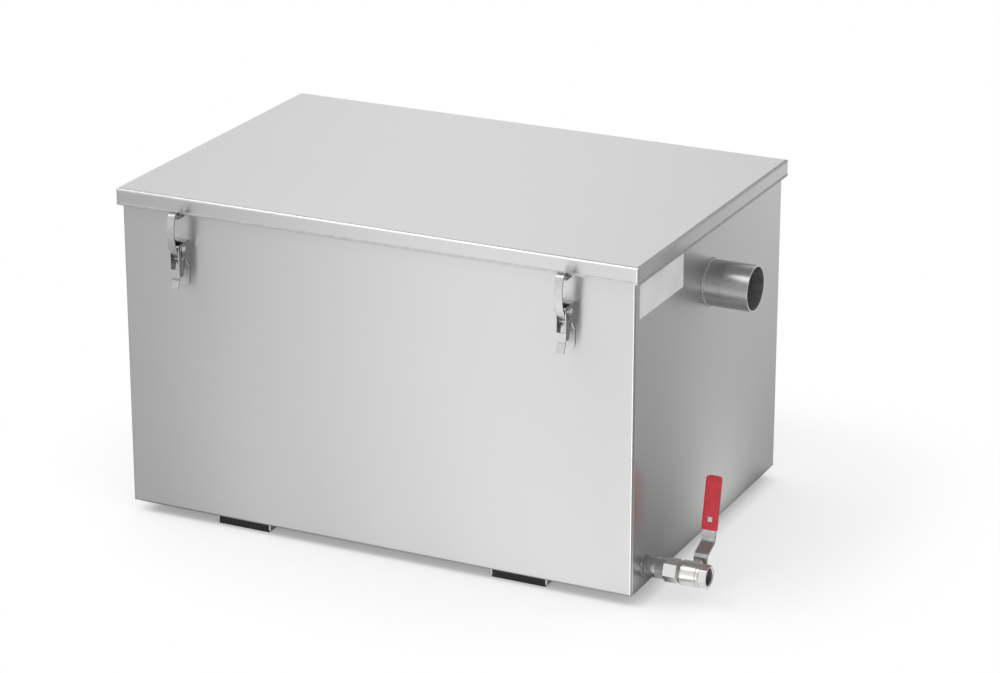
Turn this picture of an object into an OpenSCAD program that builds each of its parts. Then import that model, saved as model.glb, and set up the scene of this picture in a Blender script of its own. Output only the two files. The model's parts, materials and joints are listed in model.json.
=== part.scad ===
// Under-sink oil separator: a sheet steel tank with a lift-off cap lid.
// X runs along the tank, -Y is the front, Z is up and the rubber feet stand on z = 0.

/* [Tank] */
// Length of the tank, outside the walls
tank_l = 600; // [560:10:700]
// Depth of the tank from front to back, outside the walls
tank_w = 400; // [380:10:500]
// Height of the walls, from the underside of the floor to the top of the rim
wall_h = 356; // [340:2:420]
// Thickness of the tank and lid sheet
sheet = 1.5; // [1.2:0.1:2]
// Outside radius of the folded edges
fold_r = 3; // [2.5:0.5:4]
// Width of the flange folded inwards along the top of the walls
rim_w = 13; // [11:1:16]

/* [Lid] */
// Space between the tank wall and the inside of the lid's skirt
lid_gap = 3.5; // [3.5:0.1:5]
// Height of the lid's skirt
skirt_h = 18.5; // [16:0.5:24]
// Height of the gasket between the rim and the lid
gasket_h = 4.5; // [3:0.5:6]
// Width of the gasket
gasket_w = 9; // [6:0.5:10]

/* [Feet] */
// Height of the feet under the tank's floor
foot_h = 12; // [10:0.5:20]
// Width of each foot channel
foot_w = 66; // [50:2:80]
// Distance between the middles of the two foot channels
foot_spread = 332; // [300:4:360]
// How far the foot channels stay back from the front and back walls
foot_setback = 10; // [6:1:20]

/* [Pipes] */
// Outside radius of the inlet and outlet pipes
pipe_r = 25; // [20:0.5:30]
// How far both pipes stand out of the end walls
pipe_out = 50; // [40:1:60]
// Distance of the pipe centres under the top of the walls
pipe_drop = 73; // [68:1:90]

/* [Inside] */
// Position along X of the partition beside the basket
inlet_partition_x = -130; // [-150:2:-110]
// Position along X of the partition before the outlet
outlet_partition_x = 150; // [130:2:180]
// Gap that the partitions leave over the floor for the water
underflow = 60; // [40:2:80]
// Depth of the solids basket
basket_h = 150; // [120:2:160]
// Length of the solids basket from front to back
basket_l = 340; // [300:10:350]

/* [Drain valve] */
// Height of the drain over the underside of the tank floor
drain_z = 23; // [20:1:28]
// Distance of the drain from the front of the tank
drain_inset = 35; // [35:1:70]
// Free length of the drain nipple outside its weld
nipple_out = 24; // [22:1:34]
// Length of the ball valve between its two ends
valve_l = 48; // [47:1:60]
// Bore radius of the ball and its seats
ball_bore_r = 6.5; // [5:0.25:7]

/* [Latches] */
// Distance of each latch from the middle of the tank, along X
latch_x = 226; // [180:2:240]
// Width of the claw strap
claw_w = 8.6; // [6:0.2:10]
// Sheet thickness of the latch levers
lever_t = 1.2; // [1:0.1:1.5]
// Sheet thickness of the latch bases and keepers
plate_t = 1.5; // [1.2:0.1:1.6]
// Radius of the latch pins
pin_r = 2; // [1.5:0.1:2]

/* [Hidden] */
// Which node to draw
// Segments of a full circle in the preview
$fn = 64;
// Radial clearance of a pin that turns in its hole
running = 0.05;
// Side clearance between folded latch parts
side_gap = 0.3;
// Length added to a cutter so that it passes right through
over = 1;

// Height of the lid's skirt bottom over the ground
skirt_z = foot_h + wall_h + gasket_h + sheet - skirt_h;
// Inside length of the tank
in_l = tank_l - 2 * sheet;
// Inside depth of the tank
in_w = tank_w - 2 * sheet;
// Where the folded edges of the end walls meet the sheet around them, along X
end_x = tank_l / 2 - fold_r;
// Height at which the folded rim meets the walls
rim_z = foot_h + wall_h - fold_r;

// Height of the pipe centres over the underside of the tank floor
pipe_z = wall_h - pipe_drop;
// Wall thickness of the pipes
pipe_t = 1.5;
// How far the pipes reach into the tank
pipe_in = 12;
// Radius of a weld bead
bead_r = 1.6;

// Length of a foot channel
foot_l = tank_w - 2 * foot_setback;
// Sheet thickness of a foot channel
foot_t = 2;

// Free height between the partitions and the top of the walls
partition_drop = 30;
// Height of the partitions
partition_h = wall_h - sheet - underflow - partition_drop;
// Width of the folded edges of the partitions
partition_edge = 14;

// Width of a basket rail
rail_w = 14;
// How far the rails reach past the basket at each end
rail_extra = 10;
// Clearance between the basket and the rail edges
basket_gap = 2;
// Distance of the basket's top flange under the pipe centres
basket_drop = 47;
// Height of the basket's top flange over the ground
basket_z = foot_h + pipe_z - basket_drop;
// Left side of the basket chamber
chamber_x0 = -in_l / 2;
// Middle of the basket chamber
chamber_x = (chamber_x0 + inlet_partition_x) / 2;
// Width of the basket between the rails
basket_w = inlet_partition_x - chamber_x0 - 2 * (rail_w + basket_gap);
// Width of the basket's top flange
basket_flange = 11;
// Width of a basket slot
slot_w = 6;
// Spacing of the basket slots
slot_pitch = 20;
// Margin under, over and beside the slots in the basket's walls
slot_edge = 20;
// Height of the bar between the two rows of slots
slot_bar = 10;
// Margin beside the slots in the basket's floor and short walls
floor_edge = 15;
// Width of the basket's handle strip
handle_w = 16;
// Thickness of the handle strip
handle_t = 3;
// How far the handle stands over the basket's flange
handle_up = 50;
// How far the handle's legs reach down inside the basket
handle_down = 20;

// Place of the drain's axis between front and back
drain_y = drain_inset - tank_w / 2;
// Outside radius of the drain nipple
nipple_r = 11;
// Bore radius of the drain nipple
nipple_bore_r = 7.5;
// How far the nipple reaches into the tank
nipple_in = 8;
// Depth of the pipe thread sockets of the valve
socket_d = 11;
// Free length between the nipple's end and the bottom of its socket
end_gap = 1;
// Radius of the thread sockets: the crests of a half-inch pipe thread
socket_r = 9.3;
// Radius of the nipple's threaded end, which screws into the valve
nipple_end_r = socket_r;
// Width across the flats of the valve's six-sided ends
hex_af = 22.5;
// Length of each six-sided end of the valve
hex_l = 14.5;
// How far the flats of the six-sided ends that face the front are turned up
hex_turn = 20;
// Radius of the valve's end piece, which trims the corners of its six sides
end_r = 12.7;
// Length of the cone between the inner six-sided end and the round middle
shoulder_l = 4.5;
// Width of the turned groove beside that cone
groove_w = 1.2;
// How far the cone's start, the groove and the collar of the end piece are set in
neck_step = 0.8;
// Length of the collar
neck_l = 3;
// Width and depth of the chamfer at the valve's mouth
mouth_chamfer = 1;
// Radius of the valve ball
ball_r = ball_bore_r + 3.5;
// Free space around the ball
ball_gap = 0.4;
// Radius of the space around the ball
cavity_r = ball_r + ball_gap;
// Distance of the ball's middle from the end wall of the tank
ball_x = nipple_out + valve_l / 2 + 2;
// Distances of a seat ring's two faces from the ball's middle
seat_x = [5.5, 8.5];
// Where the screwed-in end piece meets the body, from the wall
split_x = ball_x + 10;
// Length and radius of the end piece's screwed part inside the body
screw_l = 5;
screw_r = cavity_r + 1.8;
// Wall of the valve's round middle around that screwed part
valve_wall = 1.3;
// Radius of the round middle of the valve
valve_r = screw_r + valve_wall;
// Radius of the valve stem
stem_r = 3.5;
// Width of the key between stem and ball
key_w = 3;
// Depth of the key slot in the ball
key_d = 2.5;
// Radius of the stem housing
gland_r = 7.5;
// Distance of the top of the stem housing from the valve's axis
gland_top = 21;
// Radius of the recess in the stem housing
gland_bore_r = stem_r + 2;
// Height of the sealing ring around the stem
packing_h = 4;
// How far the gland nut reaches into the housing
gland_grip = 3;
// Width across the flats and height of the gland nut's head
gland_head = [12, 3.5];
// Width across the flats and height of the lever's nut
lever_head = [10, 4];
// How far the stem stands out of the lever's nut
stem_out = 0.5;
// Distance of the lever plate's near face from the valve's axis
plate_y = 27.5;
// Thickness of the lever plate
lever_plate = 2.5;
// Width of the lever plate
lever_w = 15;
// Extra radius of the lever's round foot
lever_foot = 1.2;
// Width of the lever's sleeve
sleeve_w = 17.5;
// Length of the lever's sleeve
sleeve_l = 57.5;
// Thickness of the lever's sleeve
sleeve_t = 5.5;
// Radius of the sleeve's top corners
sleeve_corner = 4;
// Radius of the sleeve's long edges
sleeve_edge = 2;
// Corner points of the lever's middle line, as offset from the plate and height over the stem
lever_path = [[0, -9], [0, 9], [21, 17], [22.5, 29.5], [33.5, 83.5]];
// How far from each corner the lever's bends start
lever_bend = 4;
// Lean of the sleeve and the lever's grip away from the front
sleeve_lean = atan2(lever_path[4][0] - lever_path[3][0], lever_path[4][1] - lever_path[3][1]);
// Size of the square window in the sleeve
window = 6;
// Height of the sleeve window over the sleeve's bottom edge
window_up = 8;

// Inside width between a latch lever's two cheeks
cheek_gap = claw_w + 2 * side_gap;
// Outside width of a latch lever
latch_lever_w = cheek_gap + 2 * lever_t;
// Inside width between a latch base's two ears
ear_gap = latch_lever_w + 2 * side_gap;
// Outside width of a latch base
base_w = ear_gap + 2 * plate_t;
// Latch points are given as distance from the wall and height over the skirt's bottom edge.
// Where the lever turns on the base
base_pivot = [13, -35];
// Where the claw turns on the lever
claw_pivot = [10, -47];
// Outside radius of the eye at the claw's lower end
eye_r = 3.5;
// Radius of the ears around the lever's pivot
ear_r = 4;
// Radius of the lever's cheeks around the claw's pivot
cheek_r = 3.6;
// Height and extra radius of the latch pin's heads
pin_head = 1.2;
// Radius of the claw's bowed strap
bow_r = 48;
// Centre of the claw's bowed strap
bow_c = [-23.4, -14.9];
// Angle at which the bow starts, beside the eye
bow_a0 = -40.6;
// Angle at which the bow runs into the hook
bow_a1 = 19.3;
// Radius of the hook's middle line
hook_r = 6.2;
// Angle at which the hook's tip ends
hook_a1 = 158;
// Centre of the hook, on the bow's radius through its end
hook_c = bow_c + (bow_r - hook_r) * [cos(bow_a1), sin(bow_a1)];
// Distance of the keeper's lip from the wall
lip_d = 17;
// Height of the keeper's lip over the skirt's bottom edge
lip_h = 3.3;
// Width of a keeper's root inside the skirt
keeper_w = 16;
// Width of the keeper's lip
lip_w = claw_w + 1;
// How far the keeper reaches up inside the skirt
keeper_root = 12;
// Distance of the lever's front web from the wall
web_d = 18.5;
// Depth of the lever's cheeks at their lower end
cheek_d = 8;
// Radius of the cheeks' front top corner
cheek_corner = 3;
// Height of the web's top edge
web_top = -58;
// Height of the web's bottom edge, where the finger tab starts
web_bottom = -66.5;
// Lowest point of the finger tab
tab_bottom = -79;
// Width of the finger tab
tab_w = 9;
// Top of the latch base
base_top = -28.5;
// Bottom of the latch base
base_bottom = -82;
// Lowest point of the base's ears
ear_bottom = -60;
// How far the base's folded top edge reaches out between the ears
roof_d = 7;

// Shared shapes

// Moves the tank so that pipe and valve ends lie equally far from x = 0
module placed() {
    translate([(pipe_out - nipple_out - valve_l) / 2, 0, 0]) children();
}

// A rectangle with rounded corners, centred
module rounded_rect(l, w, r) {
    square([l - 2 * r, w], center = true);
    square([l, w - 2 * r], center = true);
    for (x = [-1, 1], y = [-1, 1])
        translate([x * (l / 2 - r), y * (w / 2 - r)]) circle(r);
}

// The side view of a folded box: a rectangle whose two top corners are rounded
module folded_profile(l, h, r) {
    translate([-l / 2, 0]) square([l, h - r]);
    translate([-l / 2 + r, 0]) square([l - 2 * r, h]);
    for (x = [-1, 1])
        translate([x * (l / 2 - r), h - r]) circle(r);
}

// A solid box with rounded upright corners and folded top edges, on z = 0
module folded_box(l, w, h, r) {
    intersection() {
        linear_extrude(h) rounded_rect(l, w, r);
        translate([0, w / 2, 0]) rotate([90, 0, 0]) linear_extrude(w) folded_profile(l, h, r);
        translate([-l / 2, 0, 0]) rotate([90, 0, 90]) linear_extrude(l) folded_profile(w, h, r);
    }
}

// A vector's direction, and the direction to its left
function unit(v) = v / norm(v);
function left(v) = [-v[1], v[0]];

// Steps in the rounding of one bend
bend_steps = 4;

// Points of a path whose inner corners are rounded off, starting a distance b before each
function rounded_path(points, b) = [
    for (i = [0 : len(points) - 1])
        if (i == 0 || i == len(points) - 1)
            points[i]
        else
            let (
                p0 = points[i] - b * unit(points[i] - points[i - 1]),
                p2 = points[i] + b * unit(points[i + 1] - points[i])
            )
            for (k = [0 : bend_steps])
                let (s = k / bend_steps)
                (1 - s) * (1 - s) * p0 + 2 * s * (1 - s) * points[i] + s * s * p2
];

// Sideways offset at point i of a path that gives a strip an even thickness of 2
function mitre(points, i) =
    let (
        last = len(points) - 1,
        before = unit(points[max(i, 1)] - points[max(i, 1) - 1]),
        after = unit(points[min(i, last - 1) + 1] - points[min(i, last - 1)]),
        middle = unit(left(before) + left(after))
    )
    middle / (middle * left(before));

// A bent strip along the points of a side view: thickness t, bends that start b from each corner
module bent_strip(points, t, b) {
    path = rounded_path(points, b);
    polygon(concat(
        [for (i = [0 : len(path) - 1]) path[i] + mitre(path, i) * t / 2],
        [for (i = [len(path) - 1 : -1 : 0]) path[i] - mitre(path, i) * t / 2]
    ));
}

// A curved strip of a side view: part of a ring between two angles less than 180 apart
module arc_strip(c, r, a0, a1, t) {
    am = (a0 + a1) / 2;
    far = 2 * r;
    translate(c) intersection() {
        difference() {
            circle(r + t / 2);
            circle(r - t / 2);
        }
        polygon([
            [0, 0],
            far * [cos(a0), sin(a0)],
            far * [cos(am), sin(am)],
            far * [cos(a1), sin(a1)]
        ]);
    }
}

// Gives a side view, drawn as distance from the wall and height, a width along X
module across(width) {
    rotate([90, 0, -90]) linear_extrude(width, center = true) children();
}

// A cylinder along X that starts at x = 0
module rod_x(r, l) {
    rotate([0, 90, 0]) cylinder(r = r, h = l);
}

// A half-round weld bead around a pipe along +X, standing on the wall at x = 0
module weld_bead(r) {
    rotate([0, 90, 0]) rotate_extrude() intersection() {
        translate([r, 0]) circle(bead_r);
        translate([r - bead_r / 2, 0]) square([2 * bead_r, 2 * bead_r]);
    }
}

// Tank

// Round holes through the two end walls
module wall_holes() {
    reach = sheet + over;
    for (x = [-1, 1])
        translate([x * tank_l / 2 - reach, 0, foot_h + pipe_z]) rod_x(pipe_r, 2 * reach);
    translate([tank_l / 2 - reach, drain_y, foot_h + drain_z]) rod_x(nipple_r, 2 * reach);
}

// The folded tank as a whole, before it is parted along its weld seams
module tank_form() {
    difference() {
        translate([0, 0, foot_h + wall_h]) mirror([0, 0, 1]) folded_box(tank_l, tank_w, wall_h, fold_r);
        translate([0, 0, foot_h + wall_h - sheet]) mirror([0, 0, 1])
            folded_box(in_l, in_w, wall_h - 2 * sheet, fold_r - sheet);
        translate([0, 0, foot_h + wall_h - sheet - over]) linear_extrude(sheet + 2 * over)
            rounded_rect(tank_l - 2 * rim_w, tank_w - 2 * rim_w, fold_r);
        wall_holes();
    }
}

// The part of the tank between two places along X and two heights
module tank_part(x0, x1, z0, z1) {
    color("silver") intersection() {
        tank_form();
        translate([x0, -tank_w / 2 - over, z0]) cube([x1 - x0, tank_w + 2 * over, z1 - z0]);
    }
}

// The sheet folded round the front, the floor and the back
module tank_shell() {
    tank_part(-end_x, end_x, foot_h - over, rim_z);
}

// side: -1 is the inlet's wall on the left, 1 is the wall of the outlet and the drain
module end_wall(side) {
    outer = tank_l / 2 + over;
    tank_part(side < 0 ? -outer : end_x, side < 0 ? -end_x : outer, foot_h - over, rim_z);
}

// The frame folded inwards round the tank's mouth
module tank_rim() {
    tank_part(-tank_l / 2 - over, tank_l / 2 + over, rim_z, foot_h + wall_h + over);
}

// side: -1 is the left foot, 1 is the right foot
module foot_channel(side) {
    color("gray") translate([side * foot_spread / 2, foot_l / 2, 0]) rotate([90, 0, 0])
        linear_extrude(foot_l) difference() {
            translate([-foot_w / 2, foot_t]) square([foot_w, foot_h - foot_t]);
            translate([-foot_w / 2 + foot_t, 0]) square([foot_w - 2 * foot_t, foot_h - foot_t]);
        }
}

module foot_pad(side) {
    pad_w = foot_w - 2 * foot_t;
    color("black") translate([side * foot_spread / 2 - pad_w / 2, -foot_l / 2, 0])
        cube([pad_w, foot_l, foot_h - foot_t]);
}

// side: -1 is the inlet on the left wall, 1 is the outlet on the right wall
module pipe(side) {
    color("silver") rotate([0, 0, side < 0 ? 180 : 0])
        translate([tank_l / 2, 0, foot_h + pipe_z]) difference() {
            union() {
                translate([-sheet - pipe_in, 0, 0]) rod_x(pipe_r, pipe_in + sheet + pipe_out);
                weld_bead(pipe_r);
            }
            translate([-sheet - pipe_in - over, 0, 0])
                rod_x(pipe_r - pipe_t, pipe_in + sheet + pipe_out + 2 * over);
        }
}

// A plate across the tank with folded edges, open below for the water
module partition(x) {
    z0 = foot_h + sheet + underflow;
    color("silver") translate([x, -in_w / 2, z0]) {
        cube([sheet, in_w, partition_h]);
        cube([partition_edge, sheet, partition_h]);
        translate([0, in_w - sheet, 0]) cube([partition_edge, sheet, partition_h]);
    }
}

// side: -1 is the rail on the left wall, 1 is the rail on the partition
module basket_rail(side) {
    x = side < 0 ? chamber_x0 : inlet_partition_x;
    rail_l = basket_l + 2 * rail_extra;
    color("silver") translate([x, -rail_l / 2, basket_z - sheet]) mirror([side > 0 ? 1 : 0, 0, 0]) {
        translate([0, 0, -rail_w]) cube([sheet, rail_l, rail_w + sheet]);
        cube([rail_w, rail_l, sheet]);
    }
}

// Upright slots through both long walls and both short walls, and slots in the floor
module basket_slots() {
    slot_h = (basket_h - 2 * slot_edge - slot_bar) / 2;
    rows = [slot_edge, slot_edge + slot_h + slot_bar];
    n_long = floor((basket_l - 2 * slot_edge) / slot_pitch);
    n_short = floor((basket_w - 2 * floor_edge) / slot_pitch);
    for (i = [0 : n_long], z = rows)
        translate([-basket_w / 2 - over, (i - n_long / 2) * slot_pitch - slot_w / 2, z])
            cube([basket_w + 2 * over, slot_w, slot_h]);
    for (i = [0 : n_short], z = rows)
        translate([(i - n_short / 2) * slot_pitch - slot_w / 2, -basket_l / 2 - over, z])
            cube([slot_w, basket_l + 2 * over, slot_h]);
    for (i = [0 : n_long])
        translate([-basket_w / 2 + floor_edge, (i - n_long / 2) * slot_pitch - slot_w / 2, -over])
            cube([basket_w - 2 * floor_edge, slot_w, sheet + 2 * over]);
}

module basket() {
    color("lightgray") translate([chamber_x, 0, basket_z - basket_h]) difference() {
        union() {
            translate([-basket_w / 2, -basket_l / 2, 0]) cube([basket_w, basket_l, basket_h]);
            translate([-basket_w / 2 - basket_flange, -basket_l / 2, basket_h])
                cube([basket_w + 2 * basket_flange, basket_l, sheet]);
        }
        translate([-basket_w / 2 + sheet, -basket_l / 2 + sheet, sheet])
            cube([basket_w - 2 * sheet, basket_l - 2 * sheet, basket_h + over]);
        basket_slots();
    }
}

// A strip arch welded to the insides of the basket's two short walls
module basket_handle() {
    span = basket_l - 2 * sheet;
    color("silver") translate([chamber_x, 0, basket_z - handle_down])
        rotate([90, 0, 90]) linear_extrude(handle_w, center = true) difference() {
            translate([-span / 2, 0]) square([span, handle_down + handle_up]);
            translate([-span / 2 + handle_t, -over])
                square([span - 2 * handle_t, handle_down + handle_up - handle_t + over]);
        }
}

// Drain valve parts

// Puts x = 0 on the outside of the right wall and y = z = 0 on the drain's axis
module at_drain() {
    translate([tank_l / 2, drain_y, foot_h + drain_z]) children();
}

module drain_nipple() {
    color("silver") at_drain() difference() {
        union() {
            translate([-sheet - nipple_in, 0, 0]) rod_x(nipple_r, nipple_in + sheet + nipple_out);
            translate([nipple_out, 0, 0]) rod_x(nipple_end_r, socket_d - end_gap);
            weld_bead(nipple_r);
        }
        translate([-sheet - nipple_in - over, 0, 0])
            rod_x(nipple_bore_r, nipple_in + sheet + nipple_out + socket_d + 2 * over);
    }
}

// A six-sided bar along X whose front flat is turned up by hex_turn
module hex_x(af, l) {
    rotate([-hex_turn, 0, 0]) rotate([0, 90, 0]) cylinder(d = af / cos(30), h = l, $fn = 6);
}

// Puts the children, drawn along Z, on the axis of the valve's stem
module on_stem(y) {
    translate([ball_x, y, 0]) rotate([-90, 0, 0]) children();
}

// The outside of the valve's body, from its tank end to where the end piece starts
module valve_form() {
    cone_x = nipple_out + hex_l;
    cone_r = hex_af / 2 - neck_step;
    barrel_x = cone_x + shoulder_l;
    translate([nipple_out, 0, 0]) hex_x(hex_af, hex_l);
    translate([cone_x - over, 0, 0]) rod_x(cone_r, shoulder_l);
    translate([cone_x, 0, 0]) rotate([0, 90, 0]) cylinder(r1 = cone_r, r2 = valve_r, h = shoulder_l);
    translate([barrel_x - over, 0, 0]) rod_x(valve_r - neck_step, groove_w + 2 * over);
    translate([barrel_x + groove_w, 0, 0]) rod_x(valve_r, split_x - barrel_x - groove_w);
    on_stem(0) cylinder(r = gland_r, h = gland_top);
}

module valve_body() {
    seat_back = ball_x - seat_x[1];
    color("gainsboro") at_drain() difference() {
        valve_form();
        translate([nipple_out - over, 0, 0]) rod_x(socket_r, socket_d + over);
        translate([nipple_out, 0, 0]) rod_x(ball_bore_r, valve_l / 2);
        translate([seat_back, 0, 0]) rod_x(cavity_r, split_x - seat_back + over);
        translate([split_x - screw_l, 0, 0]) rod_x(screw_r, screw_l + over);
        on_stem(0) cylinder(r = stem_r + running, h = gland_top + over);
        on_stem(gland_top - packing_h - gland_grip) cylinder(r = gland_bore_r, h = gland_top);
    }
}

// The screwed-in end piece: it holds the outer seat and has the threaded mouth
module valve_end() {
    mouth_x = nipple_out + valve_l;
    seat_back = ball_x + seat_x[1];
    color("gainsboro") at_drain() difference() {
        union() {
            translate([split_x - screw_l, 0, 0]) rod_x(screw_r, screw_l + over);
            translate([split_x, 0, 0]) rod_x(valve_r - neck_step, neck_l);
            intersection() {
                translate([split_x + neck_l - over, 0, 0]) hex_x(hex_af, mouth_x - split_x - neck_l + over);
                translate([split_x, 0, 0]) rod_x(end_r, mouth_x - split_x);
            }
        }
        translate([split_x - screw_l - over, 0, 0]) rod_x(cavity_r, seat_back - split_x + screw_l + over);
        translate([seat_back - over, 0, 0]) rod_x(ball_bore_r, valve_l / 2);
        translate([mouth_x - socket_d, 0, 0]) rod_x(socket_r, socket_d + over);
        translate([mouth_x - mouth_chamfer, 0, 0]) rotate([0, 90, 0])
            cylinder(r1 = socket_r, r2 = socket_r + 2 * mouth_chamfer, h = 2 * mouth_chamfer);
    }
}

// The two plastic rings that the ball turns against
module valve_seats() {
    color("white") at_drain() for (side = [-1, 1])
        translate([ball_x, 0, 0]) rotate([0, side * 90, 0]) rotate_extrude() difference() {
            translate([ball_bore_r, seat_x[0]]) square([cavity_r - ball_bore_r, seat_x[1] - seat_x[0]]);
            circle(ball_r + running);
        }
}

module gland_nut() {
    color("silver") at_drain() difference() {
        union() {
            on_stem(gland_top - gland_grip) cylinder(r = gland_bore_r, h = gland_grip + over);
            on_stem(gland_top) cylinder(d = gland_head[0] / cos(30), h = gland_head[1], $fn = 6);
        }
        on_stem(0) cylinder(r = stem_r + running, h = plate_y);
    }
}

module gland_packing() {
    color("white") at_drain() difference() {
        on_stem(gland_top - gland_grip - packing_h) cylinder(r = gland_bore_r, h = packing_h);
        on_stem(0) cylinder(r = stem_r + running, h = plate_y);
    }
}

// Closed, so the bore of the ball runs up and down
module valve_ball() {
    color("gainsboro") at_drain() translate([ball_x, 0, 0]) difference() {
        sphere(ball_r);
        cylinder(r = ball_bore_r, h = 3 * ball_r, center = true);
        translate([-ball_r, ball_r - key_d, -key_w / 2]) cube([2 * ball_r, key_d + over, key_w]);
    }
}

module valve_stem() {
    top = plate_y + lever_plate + lever_head[1] + stem_out;
    color("silver") at_drain() {
        on_stem(cavity_r) cylinder(r = stem_r, h = top - cavity_r);
        intersection() {
            translate([ball_x - stem_r, ball_r - key_d, -key_w / 2])
                cube([2 * stem_r, key_d + ball_gap + over, key_w]);
            on_stem(0) cylinder(r = stem_r, h = plate_y);
        }
    }
}

// Puts the children, drawn around the lever's middle line, at the valve
module at_lever() {
    at_drain() translate([ball_x, plate_y + lever_plate / 2, 0]) children();
}

// The whole cranked strip of the lever, without its hole
module lever_strip() {
    rotate([90, 0, 90]) linear_extrude(lever_w, center = true)
        bent_strip(lever_path, lever_plate, lever_bend);
}

module valve_lever() {
    top = lever_path[4][1] + lever_w;
    depth = 4 * lever_path[4][0];
    color("silver") at_lever() difference() {
        intersection() {
            lever_strip();
            rotate([90, 0, 0]) linear_extrude(depth, center = true) {
                circle(lever_w / 2 + lever_foot);
                translate([-lever_w / 2, 0]) square([lever_w, top]);
            }
        }
        translate([0, -lever_plate, 0]) rotate([-90, 0, 0]) cylinder(r = stem_r, h = 2 * lever_plate);
    }
}

// Puts the children at the sleeve's bottom edge, leaning with the lever's grip
module at_sleeve() {
    translate([0, lever_path[3][0], lever_path[3][1]]) rotate([-sleeve_lean, 0, 0]) children();
}

// Front view of the sleeve: a strip with two rounded top corners
module sleeve_outline() {
    straight = sleeve_l - sleeve_corner;
    translate([-sleeve_w / 2, 0]) square([sleeve_w, straight]);
    translate([-sleeve_w / 2 + sleeve_corner, 0]) square([sleeve_w - 2 * sleeve_corner, sleeve_l]);
    for (x = [-1, 1])
        translate([x * (sleeve_w / 2 - sleeve_corner), straight]) circle(sleeve_corner);
}

// The sleeve on the lever's grip, with its small square window
module lever_sleeve() {
    color("firebrick") at_lever() difference() {
        at_sleeve() intersection() {
            translate([0, sleeve_t / 2, 0]) rotate([90, 0, 0]) linear_extrude(sleeve_t) sleeve_outline();
            linear_extrude(sleeve_l) rounded_rect(sleeve_w, sleeve_t, sleeve_edge);
        }
        lever_strip();
        at_sleeve() translate([-window / 2, -sleeve_t, window_up]) cube([window, sleeve_t, window]);
    }
}

module lever_nut() {
    color("silver") at_drain() difference() {
        on_stem(plate_y + lever_plate) cylinder(d = lever_head[0] / cos(30), h = lever_head[1], $fn = 6);
        on_stem(0) cylinder(r = stem_r, h = 2 * plate_y);
    }
}

// Lid parts

module lid_cover() {
    l = tank_l + 2 * (lid_gap + sheet);
    w = tank_w + 2 * (lid_gap + sheet);
    color("lightgray") translate([0, 0, skirt_z]) difference() {
        folded_box(l, w, skirt_h, fold_r);
        translate([0, 0, -over])
            folded_box(l - 2 * sheet, w - 2 * sheet, skirt_h - sheet + over, fold_r - sheet);
    }
}

module lid_gasket() {
    l = tank_l - 2 * fold_r;
    w = tank_w - 2 * fold_r;
    color("dimgray") translate([0, 0, foot_h + wall_h]) linear_extrude(gasket_h) difference() {
        rounded_rect(l, w, fold_r);
        rounded_rect(l - 2 * gasket_w, w - 2 * gasket_w, fold_r);
    }
}

// Latches: 1 front left, 2 front right, 3 back right, 4 back left

// Puts the children, drawn for a front wall, at latch i
module at_latch(i) {
    turn = i > 2 ? 180 : 0;
    side = (i == 1 || i == 3) ? -1 : 1;
    rotate([0, 0, turn]) translate([side * latch_x, -tank_w / 2, skirt_z]) children();
}

// A cylinder along X, centred on a latch point
module pin_at(p, r, l) {
    translate([-l / 2, -p[0], p[1]]) rod_x(r, l);
}

// The J-shaped keeper: welded inside the skirt, under it and up in a lip
module keeper(i) {
    root = lid_gap - plate_t / 2;
    color("silver") at_latch(i) {
        across(keeper_w) translate([root - plate_t / 2, 0]) square([plate_t, keeper_root]);
        across(lip_w) bent_strip([
            [root, keeper_root],
            [root, -plate_t],
            [lip_d, -plate_t],
            [lip_d, lip_h]
        ], plate_t, plate_t);
    }
}

// Side view of the two ears of the base
module ear_profile() {
    translate(base_pivot) circle(ear_r);
    polygon([
        [0, base_top],
        [roof_d + plate_t, base_top],
        base_pivot + ear_r * [0.75, 0.66],
        base_pivot + ear_r * [1, 0],
        base_pivot + ear_r * [0.75, -0.66],
        [0, ear_bottom]
    ]);
}

module latch_base(i) {
    depth = base_pivot[0] + 2 * ear_r;
    color("silver") at_latch(i) {
        difference() {
            across(base_w) ear_profile();
            translate([-ear_gap / 2, -depth, ear_bottom - over])
                cube([ear_gap, depth - plate_t, base_top - ear_bottom + 2 * ear_r]);
            pin_at(base_pivot, pin_r, base_w + 2 * over);
        }
        translate([-base_w / 2, -plate_t, base_bottom + base_w / 2])
            cube([base_w, plate_t, base_top - base_bottom - base_w / 2]);
        translate([0, 0, base_bottom + base_w / 2]) rotate([90, 0, 0])
            cylinder(r = base_w / 2, h = plate_t);
        translate([-base_w / 2, -roof_d, base_top - plate_t]) cube([base_w, roof_d, plate_t]);
    }
}

// The riveted pin that the lever turns on
module latch_pin(i) {
    color("gray") at_latch(i) {
        pin_at(base_pivot, pin_r, base_w);
        for (x = [-1, 1])
            translate([x * (base_w + pin_head) / 2, 0, 0]) pin_at(base_pivot, pin_r + pin_head, pin_head);
    }
}

// Side view of a lever cheek
module cheek_profile() {
    cheek_top = base_pivot[1] + ear_r;
    translate(base_pivot) circle(ear_r);
    translate(claw_pivot) circle(cheek_r);
    translate([web_d, cheek_top] - cheek_corner * [1, 1]) circle(cheek_corner);
    polygon([
        base_pivot + [-ear_r, 0],
        base_pivot + [0, ear_r],
        [web_d - cheek_corner, cheek_top],
        [web_d, cheek_top - cheek_corner],
        [web_d, web_bottom],
        [web_d - cheek_d, web_bottom],
        claw_pivot + [-cheek_r, 0]
    ]);
}

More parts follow.
